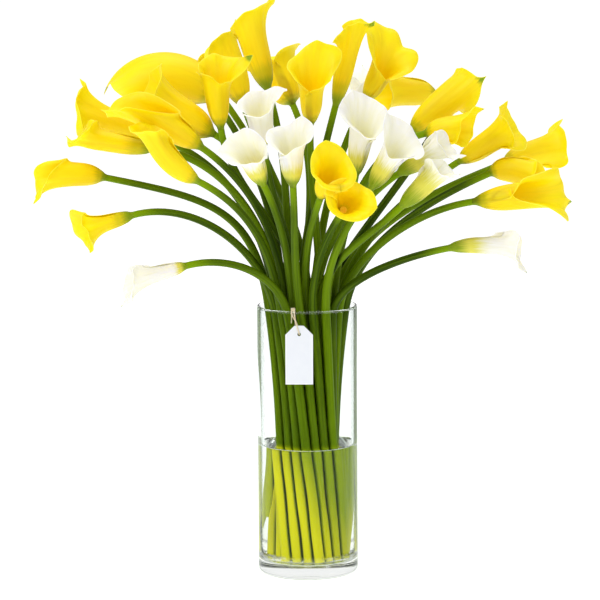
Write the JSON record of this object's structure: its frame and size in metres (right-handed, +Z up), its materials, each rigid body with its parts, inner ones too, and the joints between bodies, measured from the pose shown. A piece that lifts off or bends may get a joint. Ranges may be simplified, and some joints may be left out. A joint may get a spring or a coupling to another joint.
{
  "type": "calla lily flower bouquet",
  "caption": "Yellow and white calla lilies on long bowed green stems, fanned out of a clear glass cylinder vase of water, with a blank paper tag hanging on twine from the rim.",
  "frame": {"origin": "centre of the vase's flat underside, on the surface the vase stands on", "axes": "+Z up along the vase's axis, -Y towards the side the tag hangs on, +X to the right when the tag is faced"},
  "size_m": [0.5354, 0.3524, 0.5807],
  "materials": {
    "glass": "clear polished",
    "water": "clear, still",
    "stem": "smooth, waxy",
    "yellow_bloom": "satin, waxy",
    "white_bloom": "satin, waxy",
    "paper": "matte card",
    "twine": "matte, twisted"
  },
  "bodies": {
    "root": {"bloom_white_01": "white_bloom", "bloom_white_02": "white_bloom", "bloom_white_03": "white_bloom", "bloom_white_04": "white_bloom", "bloom_white_05": "white_bloom", "bloom_white_06": "white_bloom", "bloom_white_07": "white_bloom", "bloom_white_08": "white_bloom", "bloom_white_09": "white_bloom", "bloom_white_10": "white_bloom", "bloom_yellow_01": "yellow_bloom", "bloom_yellow_02": "yellow_bloom", "bloom_yellow_03": "yellow_bloom", "bloom_yellow_04": "yellow_bloom", "bloom_yellow_05": "yellow_bloom", "bloom_yellow_06": "yellow_bloom", "bloom_yellow_07": "yellow_bloom", "bloom_yellow_08": "yellow_bloom", "bloom_yellow_09": "yellow_bloom", "bloom_yellow_10": "yellow_bloom", "bloom_yellow_11": "yellow_bloom", "bloom_yellow_12": "yellow_bloom", "bloom_yellow_13": "yellow_bloom", "bloom_yellow_14": "yellow_bloom", "bloom_yellow_15": "yellow_bloom", "bloom_yellow_16": "yellow_bloom", "bloom_yellow_17": "yellow_bloom", "bloom_yellow_18": "yellow_bloom", "bloom_yellow_19": "yellow_bloom", "bloom_yellow_20": "yellow_bloom", "bloom_yellow_21": "yellow_bloom", "bloom_yellow_22": "yellow_bloom", "bloom_yellow_23": "yellow_bloom", "bloom_yellow_24": "yellow_bloom", "bloom_yellow_25": "yellow_bloom", "stem_white_10": "stem", "stem_yellow_05": "stem", "stem_yellow_06": "stem", "stem_yellow_20": "stem", "stem_yellow_22": "stem", "stem_yellow_24": "stem", "stem_yellow_25": "stem", "stems_white_01_white_04": "stem", "stems_white_02_white_05": "stem", "stems_white_08_yellow_23": "stem", "stems_white_09_white_07": "stem", "stems_yellow_01_yellow_03": "stem", "stems_yellow_02_yellow_07": "stem", "stems_yellow_04_white_03": "stem", "stems_yellow_08_yellow_09": "stem", "stems_yellow_10_yellow_11": "stem", "stems_yellow_12_yellow_15": "stem", "stems_yellow_13_white_06": "stem", "stems_yellow_14_yellow_19": "stem", "stems_yellow_16_yellow_18": "stem", "stems_yellow_17_yellow_21": "stem", "tag": "paper", "tag_twine": "twine", "vase": "glass", "water": "water"}
  },
  "joints": []
}
